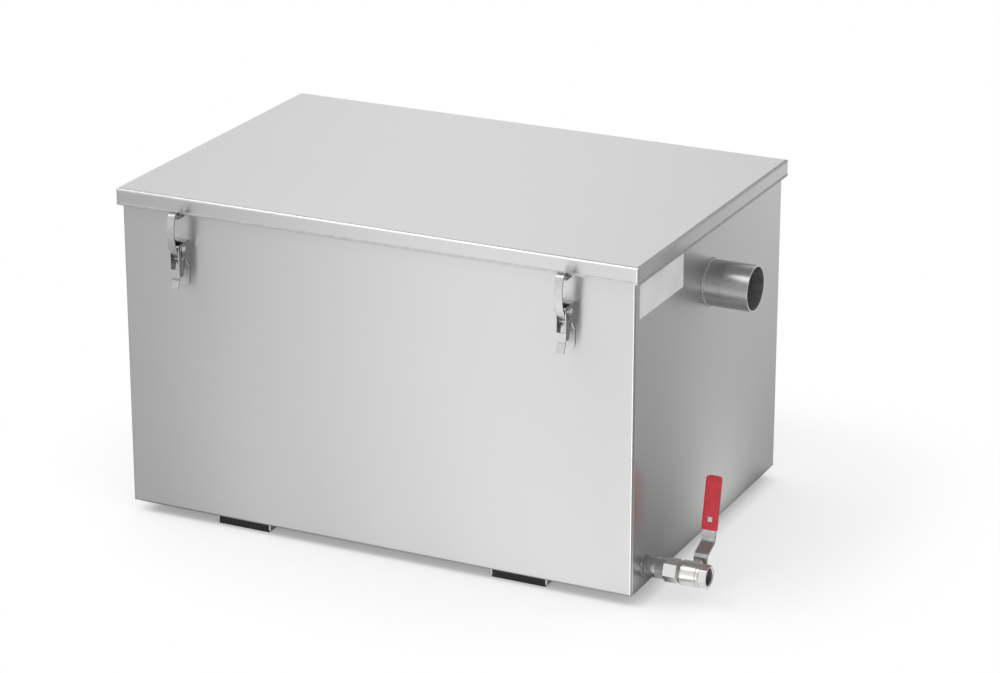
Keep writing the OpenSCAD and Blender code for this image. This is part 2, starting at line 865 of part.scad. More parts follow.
module latch_lever(i) {
    web_c = web_d - lever_t / 2;
    reach = base_pivot[1] - web_bottom + 2 * ear_r;
    color("lightgray") at_latch(i) {
        difference() {
            across(latch_lever_w) cheek_profile();
            translate([-cheek_gap / 2, -web_d + lever_t, web_bottom - over])
                cube([cheek_gap, web_d, reach]);
            translate([-cheek_gap / 2, -2 * web_d, web_top]) cube([cheek_gap, 2 * web_d, reach]);
            pin_at(base_pivot, pin_r + running, base_w);
            pin_at(claw_pivot, pin_r, base_w);
        }
        across(tab_w) bent_strip([
            [web_c, web_bottom + 1],
            [web_c, web_bottom - 1],
            [web_c - 2.2, web_bottom - 4],
            [web_c + 2.5, tab_bottom]
        ], lever_t, lever_t);
    }
}

module claw_pin(i) {
    color("gray") at_latch(i) pin_at(claw_pivot, pin_r, latch_lever_w);
}

// The bowed strap with an eye at its foot and a hook over the keeper's lip
module latch_claw(i) {
    joint = bow_c + bow_r * [cos(bow_a1), sin(bow_a1)];
    tip = hook_c + hook_r * [cos(hook_a1), sin(hook_a1)];
    color("silver") at_latch(i) across(claw_w) difference() {
        union() {
            translate(claw_pivot) circle(eye_r);
            arc_strip(bow_c, bow_r, bow_a0, bow_a1, plate_t);
            arc_strip(hook_c, hook_r, bow_a1, hook_a1, plate_t);
            for (p = [joint, tip]) translate(p) circle(d = plate_t);
        }
        translate(claw_pivot) circle(pin_r + running);
    }
}

placed() tank_shell();
placed() end_wall(-1);  // end_wall_left
placed() end_wall(1);  // end_wall_right
placed() tank_rim();
placed() foot_channel(-1);  // foot_channel_left
placed() foot_channel(1);  // foot_channel_right
placed() foot_pad(-1);  // foot_pad_left
placed() foot_pad(1);  // foot_pad_right
placed() pipe(-1);  // inlet_pipe
placed() pipe(1);  // outlet_pipe
placed() partition(inlet_partition_x);  // inlet_partition
placed() partition(outlet_partition_x);  // outlet_partition
placed() basket_rail(-1);  // basket_rail_left
placed() basket_rail(1);  // basket_rail_right
placed() basket();
placed() basket_handle();
placed() drain_nipple();
placed() valve_body();
placed() valve_end();
placed() valve_seats();
placed() gland_nut();
placed() gland_packing();
placed() valve_ball();
placed() valve_stem();
placed() valve_lever();
placed() lever_sleeve();
placed() lever_nut();
placed() lid_cover();
placed() lid_gasket();
placed() keeper(1);  // keeper_1
placed() keeper(2);  // keeper_2
placed() keeper(3);  // keeper_3
placed() keeper(4);  // keeper_4
placed() latch_base(1);  // latch_base_1
placed() latch_base(2);  // latch_base_2
placed() latch_base(3);  // latch_base_3
placed() latch_base(4);  // latch_base_4
placed() latch_pin(1);  // latch_pin_1
placed() latch_pin(2);  // latch_pin_2
placed() latch_pin(3);  // latch_pin_3
placed() latch_pin(4);  // latch_pin_4
placed() latch_lever(1);  // latch_lever_1
placed() latch_lever(2);  // latch_lever_2
placed() latch_lever(3);  // latch_lever_3
placed() latch_lever(4);  // latch_lever_4
placed() claw_pin(1);  // claw_pin_1
placed() claw_pin(2);  // claw_pin_2
placed() claw_pin(3);  // claw_pin_3
placed() claw_pin(4);  // claw_pin_4
placed() latch_claw(1);  // latch_claw_1
placed() latch_claw(2);  // latch_claw_2
placed() latch_claw(3);  // latch_claw_3
placed() latch_claw(4);  // latch_claw_4
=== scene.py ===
"""Looks of the under-sink oil separator: brushed sheet steel, drain valve, draw latches and studio."""
import json
import math
import random

import bmesh
import bpy
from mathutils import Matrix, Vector


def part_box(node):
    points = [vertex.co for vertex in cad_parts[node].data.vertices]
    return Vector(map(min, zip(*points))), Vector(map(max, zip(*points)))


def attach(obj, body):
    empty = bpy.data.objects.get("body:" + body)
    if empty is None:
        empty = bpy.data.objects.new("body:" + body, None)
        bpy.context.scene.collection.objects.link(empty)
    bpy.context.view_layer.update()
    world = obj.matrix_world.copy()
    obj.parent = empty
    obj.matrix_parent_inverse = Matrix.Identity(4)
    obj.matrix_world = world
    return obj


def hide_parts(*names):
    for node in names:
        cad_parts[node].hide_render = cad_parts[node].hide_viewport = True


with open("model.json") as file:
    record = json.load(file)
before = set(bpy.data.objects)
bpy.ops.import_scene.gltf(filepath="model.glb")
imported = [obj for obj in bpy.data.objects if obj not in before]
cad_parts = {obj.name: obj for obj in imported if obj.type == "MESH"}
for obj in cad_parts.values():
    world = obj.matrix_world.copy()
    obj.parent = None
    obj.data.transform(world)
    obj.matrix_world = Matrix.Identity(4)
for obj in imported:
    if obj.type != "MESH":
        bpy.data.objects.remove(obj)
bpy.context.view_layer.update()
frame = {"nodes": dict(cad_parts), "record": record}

MM = 0.001
WALL_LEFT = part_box("end_wall_left")[0][0]
WALL_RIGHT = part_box("end_wall_right")[1][0]
LID_LO, LID_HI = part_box("lid_cover")
VALVE_LO, VALVE_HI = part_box("valve_end")
PIPE_LO, PIPE_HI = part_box("outlet_pipe")
NIPPLE_LO, NIPPLE_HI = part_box("drain_nipple")

# The drain's axis runs along X through this point of the right wall
DRAIN = Vector((WALL_RIGHT, (VALVE_LO[1] + VALVE_HI[1]) / 2, (VALVE_LO[2] + VALVE_HI[2]) / 2))
# Both pipe stubs: height of the centre line, and outer radius
PIPE_Z = (PIPE_LO[2] + PIPE_HI[2]) / 2
PIPE_R = 25 * MM


# Shader helpers

# The span in which nearly all values of a noise lie
NOISE_SPAN = (0.3, 0.7)
BEVEL_SAMPLES = 4


class Shade:
    """A material's node tree with short calls for the nodes that every finish here uses."""

    # Short names of the shader's sockets
    INPUTS = {
        "color": "Base Color",
        "metal": "Metallic",
        "rough": "Roughness",
        "normal": "Normal",
        "aniso": "Anisotropic",
        "tangent": "Tangent",
        "specular": "Specular IOR Level",
    }

    def __init__(self, name):
        self.material = bpy.data.materials.new(name)
        self.material.use_nodes = True
        self.tree = self.material.node_tree
        self.bsdf = self.tree.nodes["Principled BSDF"]
        self.place = self.node("ShaderNodeTexCoord").outputs["Object"]

    def node(self, kind, **settings):
        made = self.tree.nodes.new(kind)
        for key, value in settings.items():
            setattr(made, key, value)
        return made

    def feed(self, socket, value):
        """Links a socket, or sets its number or colour."""
        if isinstance(value, bpy.types.NodeSocket):
            self.tree.links.new(value, socket)
        else:
            socket.default_value = value

    def math(self, operation, a, b=0.0, clamp=False):
        made = self.node("ShaderNodeMath", operation=operation, use_clamp=clamp)
        self.feed(made.inputs[0], a)
        self.feed(made.inputs[1], b)
        return made.outputs[0]

    def stretched(self, scale):
        """The object's own coordinates, scaled along X, Y and Z."""
        made = self.node("ShaderNodeMapping")
        self.feed(made.inputs["Vector"], self.place)
        made.inputs["Scale"].default_value = scale
        return made.outputs["Vector"]

    def noise(self, scale=1.0, detail=3, rough=0.5, stretch=None):
        made = self.node("ShaderNodeTexNoise")
        self.feed(made.inputs["Vector"], self.stretched(stretch) if stretch else self.place)
        made.inputs["Scale"].default_value = scale
        made.inputs["Detail"].default_value = detail
        made.inputs["Roughness"].default_value = rough
        return made.outputs["Fac"]

    def spread(self, value, low=0.0, high=1.0):
        """Maps a noise's usual span to low and high."""
        made = self.node("ShaderNodeMapRange")
        self.feed(made.inputs["Value"], value)
        made.inputs["From Min"].default_value = NOISE_SPAN[0]
        made.inputs["From Max"].default_value = NOISE_SPAN[1]
        made.inputs["To Min"].default_value = low
        made.inputs["To Max"].default_value = high
        return made.outputs["Result"]

    def blend(self, factor, a, b):
        """A number between a and b."""
        made = self.node("ShaderNodeMix", data_type="FLOAT")
        self.feed(made.inputs["Factor"], factor)
        self.feed(made.inputs["A"], a)
        self.feed(made.inputs["B"], b)
        return made.outputs["Result"]

    def tint(self, factor, a, b):
        """A colour between a and b."""
        made = self.node("ShaderNodeMix", data_type="RGBA")
        color_a, color_b = made.inputs[6], made.inputs[7]
        self.feed(made.inputs["Factor"], factor)
        self.feed(color_a, a)
        self.feed(color_b, b)
        return made.outputs[2]

    def tones(self, value, tone, darkest, lightest=1.0):
        """A grey that noise varies between two shares of a tone."""
        return self.tint(self.spread(value), grey(tone * darkest), grey(tone * lightest))

    def bump(self, height, strength, distance, normal=None):
        made = self.node("ShaderNodeBump")
        made.inputs["Strength"].default_value = strength
        made.inputs["Distance"].default_value = distance
        self.feed(made.inputs["Height"], height)
        if normal:
            self.feed(made.inputs["Normal"], normal)
        return made.outputs["Normal"]

    def soft_edges(self, radius):
        """Rounds sharp edges in the shading only."""
        made = self.node("ShaderNodeBevel", samples=BEVEL_SAMPLES)
        made.inputs["Radius"].default_value = radius
        return made.outputs["Normal"]

    def facing(self, axis, least=0.7):
        """1 on faces that look along an axis, either way, and 0 on the others."""
        normal = self.node("ShaderNodeNewGeometry").outputs["True Normal"]
        split = self.node("ShaderNodeSeparateXYZ")
        self.feed(split.inputs[0], normal)
        size = self.math("ABSOLUTE", split.outputs[axis])
        return self.math("GREATER_THAN", size, least)

    def set(self, **values):
        for key, value in values.items():
            self.feed(self.bsdf.inputs[self.INPUTS[key]], value)
        return self.material


def grey(value, warm=0.0):
    return (value * (1 + warm), value, value * (1 - warm), 1.0)


# Finishes

# Scale of the brushed lines along and across them
GRAIN_ALONG = 2.0
GRAIN_ACROSS = 1100.0
# Share of the lines in a sheet's tone; the rest is cloudy patches
LINE_SHARE = 0.8
# How far a sheet's tone varies, how warm it is, and how far its lines draw out reflections
SHEET_CONTRAST = 0.02
SHEET_WARMTH = 0.004
SHEET_STRETCH = 0.85
# Depth of brushed lines and fine scratches
LINE_DEPTH = 0.01 * MM
# A sawn end looks this squarely along its axis; its brightness, and its roughness on feet and tubes
SAWN_SQUARE = 0.97
SAWN_TONE = 0.97
FOOT_END_ROUGH = 0.55
TUBE_END_ROUGH = 0.5
# Scale along X, Y and Z of a tube's drawn lines and faint rings, and of scratches on pressed parts
TUBE_LINES = (4.0, 500.0, 500.0)
TUBE_RINGS = (260.0, 8.0, 8.0)
SCRATCHES = (900.0, 900.0, 60.0)
# Brightness of the painted shade on pressed faces: the near-black tone towards which their side and top
# faces are darkened
PAINTED_SHADE_TONE = 0.04
# Share of the fine specks in the sleeve's relief
SPECK_SHARE = 0.2


def grain(shade):
    """Fine brushed lines: level on upright faces, along X on faces that look up or down."""
    upright = shade.noise(detail=4, rough=0.65, stretch=(GRAIN_ALONG, GRAIN_ALONG, GRAIN_ACROSS))
    flat = shade.noise(detail=4, rough=0.65, stretch=(GRAIN_ALONG, GRAIN_ACROSS, GRAIN_ALONG))
    return shade.blend(shade.facing("Z"), upright, flat)


def grain_tangent(shade):
    """The direction across the brushed lines, in which reflections are drawn out."""
    up = shade.facing("Z")
    made = shade.node("ShaderNodeCombineXYZ")
    shade.feed(made.inputs["Y"], up)
    shade.feed(made.inputs["Z"], shade.math("SUBTRACT", 1.0, up))
    return made.outputs[0]


def brushed_steel(name, tone, rough, edge=0.5 * MM):
    """Brushed stainless sheet: lines, faint cloudy patches and slightly rounded edges."""
    shade = Shade(name)
    lines = grain(shade)
    clouds = shade.noise(scale=6.0, rough=0.55)
    line_part = shade.math("MULTIPLY", lines, LINE_SHARE)
    cloud_part = shade.math("MULTIPLY", clouds, 1 - LINE_SHARE)
    level = shade.spread(shade.math("ADD", line_part, cloud_part))
    dark = grey(tone * (1 - SHEET_CONTRAST), SHEET_WARMTH)
    pale = grey(tone * (1 + SHEET_CONTRAST), SHEET_WARMTH)
    roughness = shade.spread(lines, low=rough - 0.02, high=rough + 0.03)
    normal = shade.bump(lines, strength=0.05, distance=LINE_DEPTH, normal=shade.soft_edges(edge))
    return shade.set(color=shade.tint(level, dark, pale), metal=1.0, rough=roughness, normal=normal,
                     aniso=SHEET_STRETCH, tangent=grain_tangent(shade))


def cut_channel(name, tone, rough):
    """Folded channel: brushed along its length, with bright sawn ends."""
    shade = Shade(name)
    lines = grain(shade)
    end = shade.facing("Y", SAWN_SQUARE)
    color = shade.tint(end, shade.tones(lines, tone, darkest=0.95), grey(SAWN_TONE))
    brushed = shade.spread(lines, low=rough, high=rough + 0.05)
    roughness = shade.blend(end, brushed, FOOT_END_ROUGH)
    edges = shade.soft_edges(radius=0.2 * MM)
    normal = shade.bump(lines, strength=0.05, distance=LINE_DEPTH, normal=edges)
    return shade.set(color=color, metal=0.7, rough=roughness, normal=normal)


def drawn_tube(name, tone, rough):
    """Drawn or rolled tube: lines along X, and a bright sawn face at the end."""
    shade = Shade(name)
    lines = shade.noise(detail=4, rough=0.6, stretch=TUBE_LINES)
    rings = shade.noise(detail=2, stretch=TUBE_RINGS)
    mean = shade.math("MULTIPLY", shade.math("ADD", lines, rings), 0.5)
    end = shade.facing("X", SAWN_SQUARE)
    color = shade.tint(end, shade.tones(mean, tone, darkest=0.9, lightest=1.08), grey(SAWN_TONE))
    drawn = shade.spread(lines, low=rough - 0.05, high=rough + 0.07)
    roughness = shade.blend(end, drawn, TUBE_END_ROUGH)
    edges = shade.soft_edges(radius=0.2 * MM)
    normal = shade.bump(lines, strength=0.15, distance=0.02 * MM, normal=edges)
    return shade.set(color=color, metal=0.8, rough=roughness, normal=normal)


def cast_plated(name, tone, rough, grit=0.25):
    """Nickel plating over a cast or machined form: smooth, with faint pitting and stains."""
    shade = Shade(name)
    pits = shade.noise(scale=900.0, rough=0.6)
    stains = shade.noise(scale=120.0, rough=0.6)
    color = shade.tint(shade.spread(stains), grey(tone * 0.88, warm=0.015), grey(tone, warm=0.01))
    roughness = shade.spread(stains, low=rough, high=rough + 0.12)
    edges = shade.soft_edges(radius=0.4 * MM)
    normal = shade.bump(pits, strength=grit, distance=0.02 * MM, normal=edges)
    return shade.set(color=color, metal=1.0, rough=roughness, normal=normal)


def pressed_steel(name, tone, rough, side=0.0, top=0.0):
    """Small pressed stainless parts: tumbled and scratched; side and top paint shade on the faces along X
    and Z, darkening them towards near black.
    """
    shade = Shade(name)
    scratches = shade.noise(detail=4, rough=0.7, stretch=SCRATCHES)
    smudges = shade.noise(scale=160.0)
    # Painted shade: faces along X, and by the top share those along Z, are darkened towards a near-black
    # tone
    painted_side_shade = shade.math("MULTIPLY", shade.facing("X"), side)
    painted_top_shade = shade.math("MULTIPLY", shade.facing("Z"), top)
    painted_shade = shade.math("ADD", painted_side_shade, painted_top_shade, clamp=True)
    color = shade.tint(painted_shade, shade.tones(smudges, tone, darkest=0.86), grey(PAINTED_SHADE_TONE))
    roughness = shade.spread(scratches, low=rough - 0.04, high=rough + 0.1)
    edges = shade.soft_edges(radius=0.35 * MM)
    normal = shade.bump(scratches, strength=0.1, distance=LINE_DEPTH, normal=edges)
    return shade.set(color=color, metal=1.0, rough=roughness, normal=normal)


def weld_metal(name):
    """Weld bead: rippled metal, a little darker in the valleys."""
    shade = Shade(name)
    spots = shade.noise(scale=500.0, rough=0.6)
    color = shade.tint(shade.spread(spots), grey(0.3, warm=0.03), grey(0.66, warm=0.01))
    roughness = shade.spread(spots, low=0.22, high=0.42)
    normal = shade.bump(spots, strength=0.4, distance=0.15 * MM)
    return shade.set(color=color, metal=1.0, rough=roughness, normal=normal)


def rubber(name, tone):
    """Matt black rubber with a dusty bloom."""
    shade = Shade(name)
    dust = shade.noise(scale=300.0, detail=4, rough=0.7)
    color = shade.tones(dust, tone, darkest=1.0, lightest=2.2)
    roughness = shade.spread(dust, low=0.7, high=0.9)
    normal = shade.bump(dust, strength=0.35, distance=0.1 * MM)
    return shade.set(color=color, rough=roughness, normal=normal)


def dipped_plastic(name, color_dark, color_light):
    """Soft coloured plastic drawn over steel: waxy, faintly uneven."""
    shade = Shade(name)
    waves = shade.noise(scale=90.0)
    specks = shade.noise(scale=1500.0, detail=2)
    color = shade.tint(shade.spread(waves), color_dark, color_light)
    roughness = shade.spread(specks, low=0.34, high=0.5)
    relief = shade.math("ADD", waves, shade.math("MULTIPLY", specks, SPECK_SHARE))
    edges = shade.soft_edges(radius=0.8 * MM)
    normal = shade.bump(relief, strength=0.25, distance=0.2 * MM, normal=edges)
    return shade.set(color=color, rough=roughness, normal=normal)


def plain_plastic(name, tone):
    """Hard white sealing plastic, slightly mottled."""
    shade = Shade(name)
    mottle = shade.noise(scale=400.0, rough=0.6)
    color = shade.tones(mottle, tone, darkest=0.93)
    roughness = shade.spread(mottle, low=0.35, high=0.5)
    normal = shade.bump(mottle, strength=0.2, distance=0.05 * MM)
    return shade.set(color=color, rough=roughness, normal=normal)


def sticker_film(name, tone):
    """Plain satin film, matt and slightly dimpled."""
    shade = Shade(name)
    dimples = shade.noise(scale=700.0, rough=0.6)
    patches = shade.noise(scale=25.0, detail=2)
    color = shade.tones(patches, tone, darkest=0.889)
    roughness = shade.spread(dimples, low=0.4, high=0.55)
    normal = shade.bump(dimples, strength=0.2, distance=0.05 * MM)
    return shade.set(color=color, rough=roughness, normal=normal)


SLEEVE_DARK = (0.50, 0.018, 0.03, 1.0)
SLEEVE_LIGHT = (0.66, 0.03, 0.05, 1.0)

FINISHES = {
    "tank_steel": brushed_steel("tank_steel", tone=0.74, rough=0.31),
    "lid_steel": brushed_steel("lid_steel", tone=0.74, rough=0.31),
    "foot_steel": cut_channel("foot_steel", tone=0.62, rough=0.34),
    "foot_rubber": rubber("foot_rubber", tone=0.018),
    "pipe_steel": drawn_tube("pipe_steel", tone=0.45, rough=0.27),
    "inner_steel": brushed_steel("inner_steel", tone=0.66, rough=0.34),
    "basket_steel": brushed_steel("basket_steel", tone=0.68, rough=0.30, edge=0.3 * MM),
    "valve_metal": cast_plated("valve_metal", tone=0.84, rough=0.24, grit=0.12),
    "seat_plastic": plain_plastic("seat_plastic", tone=0.82),
    "stem_steel": pressed_steel("stem_steel", tone=0.70, rough=0.28),
    "lever_steel": pressed_steel("lever_steel", tone=0.66, rough=0.38),
    "sleeve_plastic": dipped_plastic("sleeve_plastic", SLEEVE_DARK, SLEEVE_LIGHT),
    # The latches carry painted shade: their faces along X and Z are darkened towards near black
    "latch_steel": pressed_steel("latch_steel", tone=0.76, rough=0.34, side=0.78, top=0.3),
    "pin_steel": pressed_steel("pin_steel", tone=0.62, rough=0.25),
    "gasket_rubber": rubber("gasket_rubber", tone=0.03),
}
WELD = weld_metal("weld_metal")
HEM = pressed_steel("hem_steel", tone=0.77, rough=0.6)
BORE = cast_plated("bore_metal", tone=0.3, rough=0.4)
FILM = sticker_film("sticker_film", tone=0.63)


def dress_cad_nodes():
    """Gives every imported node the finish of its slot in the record."""
    for row in frame["record"]["subparts"]:
        node = frame["nodes"][row["node"]]
        finish = FINISHES[row["material_slot"]]
        if not node.material_slots:
            node.data.materials.append(finish)
        for slot in node.material_slots:
            slot.material = finish


# Mesh helpers

def new_piece(name, body, material, verts, faces, smooth=True):
    """A mesh object that rides on a body and carries the given finish."""
    mesh = bpy.data.meshes.new(name)
    mesh.from_pydata([tuple(v) for v in verts], [], faces)
    mesh.materials.append(material)
    fix = bmesh.new()
    fix.from_mesh(mesh)
    bmesh.ops.recalc_face_normals(fix, faces=fix.faces)
    fix.to_mesh(mesh)
    fix.free()
    for face in mesh.polygons:
        face.use_smooth = smooth
    piece = bpy.data.objects.new(name, mesh)
    bpy.context.scene.collection.objects.link(piece)
    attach(piece, body)
    return piece


def ring_bands(rings, count, closed=True):
    """Faces between neighbouring rings of count points; closed also joins the last to the first."""
    faces = []
    for i in range(rings if closed else rings - 1):
        low, high = i * count, ((i + 1) % rings) * count
        for k in range(count):
            beside = (k + 1) % count
            faces.append((low + k, low + beside, high + beside, high + k))
    return faces


def round_pipe(origin, profile, count):
    """Points around X: profile gives (x, radius) or (x, radius as a function of the angle)."""
    verts = []
    for x, radius in profile:
        for k in range(count):
            angle = 2 * math.pi * k / count
            r = radius(angle) if callable(radius) else radius
            verts.append(origin + Vector((x, r * math.cos(angle), r * math.sin(angle))))
    return verts


# Welds and threads

WELD_SIZE = 1.2 * MM
# Points along one ripple of a bead, and around the bead's section
RIPPLE_POINTS = 6
BEAD_POINTS = 10
# Share of the bead's size that a ripple takes away, and how much ripples differ
RIPPLE_DEPTH = 0.22
RIPPLE_DRIFT = 0.1
# As shares of the size: how far the bead's middle lies outside the pipe and off the wall
BEAD_OUT = 0.15
BEAD_OFF = 0.2
# The bead's height off the wall as a share of its width
BEAD_FLAT = 0.9


def weld_ring(name, origin, radius, ripples, seed, side=1):
    """A rippled bead around a pipe where it meets an end wall; side is -1 on the left wall."""
    random.seed(seed)
    around = ripples * RIPPLE_POINTS
    drift = [random.uniform(1 - RIPPLE_DRIFT, 1 + RIPPLE_DRIFT) for _ in range(ripples)]
    verts = []
    for k in range(around):
        angle = 2 * math.pi * k / around
        beat = 0.5 + 0.5 * math.cos(angle * ripples)
        fat = WELD_SIZE * drift[k // RIPPLE_POINTS] * (1 - RIPPLE_DEPTH + RIPPLE_DEPTH * beat)
        for j in range(BEAD_POINTS):
            turn = 2 * math.pi * j / BEAD_POINTS
            out = radius + BEAD_OUT * WELD_SIZE + fat * math.cos(turn)
            along = side * (BEAD_OFF * WELD_SIZE + fat * BEAD_FLAT * math.sin(turn))
            verts.append(origin + Vector((along, out * math.cos(angle), out * math.sin(angle))))
    new_piece(name, "tank", WELD, verts, ring_bands(around, BEAD_POINTS))


# The half-inch pipe thread
THREAD_PITCH = 1.814 * MM
THREAD_DEPTH = 0.9 * MM
# The nipple's outer radius, its radius inside the valve and its bore
NIPPLE_R = 11 * MM
NIPPLE_CORE_R = 9.2 * MM
NIPPLE_BORE_R = 7.5 * MM
# Where its thread starts and ends, from the wall, and the plain run-out before it
NIPPLE_THREAD = (14.5 * MM, 24 * MM)
RUN_OUT = 1 * MM
NIPPLE_STEPS = 60
NIPPLE_POINTS = 72
# The valve's mouth: wall, height of the ridges, and how far in they start and end
MOUTH_R = 9.29 * MM
MOUTH_RIDGE = 0.5 * MM
MOUTH_THREAD = (10.8 * MM, 1.2 * MM)
# The ridges' roots stay this far off the wall
ROOT_GAP = 0.02 * MM
MOUTH_STEPS = 64
MOUTH_POINTS = 60


def thread_radius(x, crest, depth):
    """Radius of a pipe thread at a place along X, as a function of the angle."""
    def radius(angle):
        phase = (x / THREAD_PITCH - angle / (2 * math.pi)) % 1.0
        return crest - depth * abs(2 * phase - 1)
    return radius


def threaded_nipple():
    """The welded nipple: plain beside the wall, threaded where it enters the valve."""
    start, end = NIPPLE_THREAD
    inner_end, screwed_end = NIPPLE_LO[0] - DRAIN.x, NIPPLE_HI[0] - DRAIN.x
    profile = [(inner_end, NIPPLE_R), (start - RUN_OUT, NIPPLE_R), (start, NIPPLE_R)]
    for i in range(1, NIPPLE_STEPS):
        x = start + (end - start) * i / NIPPLE_STEPS
        profile.append((x, thread_radius(x, NIPPLE_R, THREAD_DEPTH)))
    profile += [(end, NIPPLE_CORE_R), (screwed_end, NIPPLE_CORE_R)]
    profile += [(screwed_end, NIPPLE_BORE_R), (inner_end, NIPPLE_BORE_R)]
    piece = new_piece("nipple_threaded", "tank", FINISHES["pipe_steel"],
                      round_pipe(DRAIN, profile, NIPPLE_POINTS),
                      ring_bands(len(profile), NIPPLE_POINTS))
    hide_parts("drain_nipple")


def mouth_thread():
    """Thread ridges inside the valve's mouth."""
    start, end = [VALVE_HI[0] - DRAIN.x - depth for depth in MOUTH_THREAD]
    profile = [(start, MOUTH_R)]
    for i in range(MOUTH_STEPS + 1):
        x = start + (end - start) * i / MOUTH_STEPS
        profile.append((x, thread_radius(x, MOUTH_R - ROOT_GAP, MOUTH_RIDGE)))
    profile.append((end, MOUTH_R))
    new_piece("mouth_thread", "tank", BORE, round_pipe(DRAIN, profile, MOUTH_POINTS),
              ring_bands(len(profile), MOUTH_POINTS))


# Lid details

LID_CORNER_R = 3 * MM
# The rounded fold: height, how far it stands out, how far its round starts inside the skirt's face
HEM_HEIGHT = 3.2 * MM
HEM_PROUD = 0.45 * MM
HEM_TUCK = 0.1 * MM
# How far its back lies behind the skirt's face, and its lift off the skirt's lower edge
HEM_BACK = 1.9 * MM
HEM_LIFT = 0.02 * MM
HEM_STEPS = 8
# A spot weld's mark: radius and height of each of its rings, in millimetres
SPOT_RINGS = [(1.5, 0.01), (1.2, 0.06), (0.9, 0.03), (0.5, 0.02), (0.1, 0.03)]
SPOT_POINTS = 24
# Its place: sideways from the keeper's middle, and above the skirt's lower edge
SPOT_ASIDE = 5.5 * MM
SPOT_UP = 7 * MM


def rounded_loop(lo, hi, radius, steps=5):
    """Points and outward directions around a rectangle with round corners."""
    loop = []
    corners = [(hi[0], hi[1], 0), (lo[0], hi[1], 90), (lo[0], lo[1], 180), (hi[0], lo[1], 270)]
    for x, y, start in corners:
        cx = x - math.copysign(radius, x - (lo[0] + hi[0]) / 2)
        cy = y - math.copysign(radius, y - (lo[1] + hi[1]) / 2)
        for k in range(steps + 1):
            angle = math.radians(start + 90 * k / steps)
            out = Vector((math.cos(angle), math.sin(angle), 0))
            loop.append((Vector((cx, cy, 0)) + out * radius, out))
    return loop


def lid_hem():
    """The rounded fold along the bottom edge of the skirt."""
    loop = rounded_loop(LID_LO, LID_HI, LID_CORNER_R)
    section = []
    for k in range(HEM_STEPS + 1):
        angle = math.radians(-90 + 180 * k / HEM_STEPS)
        section.append((HEM_PROUD * math.cos(angle) - HEM_TUCK, HEM_HEIGHT / 2 * math.sin(angle)))
    section += [(-HEM_BACK, HEM_HEIGHT / 2), (-HEM_BACK, -HEM_HEIGHT / 2)]
    middle = LID_LO[2] + HEM_HEIGHT / 2 + HEM_LIFT
    verts = []
    for out, up in section:
        for place, direction in loop:
            verts.append(place + direction * out + Vector((0, 0, middle + up)))
    new_piece("lid_hem", "lid", HEM, verts, ring_bands(len(section), len(loop)))


def spot_mark(name, x, z, side):
    """The shallow dimple that a spot weld leaves on the skirt; side is -1 on the front."""
    wall = LID_LO[1] if side < 0 else LID_HI[1]
    verts = []
    for radius, height in SPOT_RINGS:
        for k in range(SPOT_POINTS):
            angle = 2 * math.pi * k / SPOT_POINTS
            verts.append(Vector((x + radius * MM * math.cos(angle), wall + side * height * MM,
                                 z + radius * MM * math.sin(angle))))
    faces = ring_bands(len(SPOT_RINGS), SPOT_POINTS, closed=False)
    faces.append(tuple(range(len(verts) - SPOT_POINTS, len(verts))))
    new_piece(name, "lid", FINISHES["lid_steel"], verts, faces)


def spot_marks():
    """Two marks for each keeper."""
    for i in (1, 2, 3, 4):
        lo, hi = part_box(f"keeper_{i}")
        middle, side = (lo[0] + hi[0]) / 2, -1 if lo[1] < 0 else 1
        for k, offset in enumerate((-SPOT_ASIDE, SPOT_ASIDE)):
            spot_mark(f"spot_mark_{i}_{k + 1}", middle + offset, LID_LO[2] + SPOT_UP, side)


# Sticker on the right wall

# Two opposite corners as (y, z), and the corners' radius
STICKER_FROM = Vector((-190 * MM, 314 * MM))
STICKER_TO = Vector((-77.5 * MM, 351 * MM))
STICKER_CORNER_R = 1.5 * MM
# The film's thickness, and its rounded edge: where it starts, as a share of that, and its width
FILM_THICK = 0.15 * MM
EDGE_FROM = 0.8
EDGE_WIDTH = 0.1 * MM


def sticker():
    """A plain pale film with rounded corners, lying on the right wall beside the outlet."""
    loop = rounded_loop(STICKER_FROM, STICKER_TO, STICKER_CORNER_R, steps=4)
    layers = [(0.0, 0.0), (FILM_THICK * EDGE_FROM, 0.0), (FILM_THICK, -EDGE_WIDTH)]
    verts = []
    for x, grow in layers:
        for place, direction in loop:
            y, z = place.x + direction.x * grow, place.y + direction.y * grow
            verts.append(Vector((WALL_RIGHT + x, y, z)))
    count = len(loop)
    faces = [tuple(range(count)), tuple(range(2 * count, 3 * count))]
    faces += ring_bands(len(layers), count, closed=False)
    new_piece("sticker_plain", "tank", FILM, verts, faces, smooth=False)


# Studio

# The camera stands right of the front and above it, and looks back along these angles
CAMERA_PLACE = Vector((1.5769, -3.1805, 1.4847))
CAMERA_AZIMUTH = math.radians(25.77)
CAMERA_ELEVATION = math.radians(20.07)
# Focal length and sensor width in millimetres, and how far the camera sees
CAMERA_LENS = 123.73
CAMERA_SENSOR = 36.0
CAMERA_REACH = 100.0


def put(name, data, place, direction):
    """A camera or lamp at a place, looking along a direction."""
    made = bpy.data.objects.new(name, data)
    made.location = place
    made.rotation_mode = "QUATERNION"
    made.rotation_quaternion = direction.to_track_quat("-Z", "Y")
    bpy.context.scene.collection.objects.link(made)
    return made


def camera():
    """The photograph's viewpoint."""
    lens = bpy.data.cameras.new("camera")
    lens.lens = CAMERA_LENS
    lens.sensor_width = CAMERA_SENSOR
    lens.clip_end = CAMERA_REACH
    back = Vector((math.sin(CAMERA_AZIMUTH) * math.cos(CAMERA_ELEVATION),
                   -math.cos(CAMERA_AZIMUTH) * math.cos(CAMERA_ELEVATION), math.sin(CAMERA_ELEVATION)))
    bpy.context.scene.camera = put("camera", lens, CAMERA_PLACE, -back)


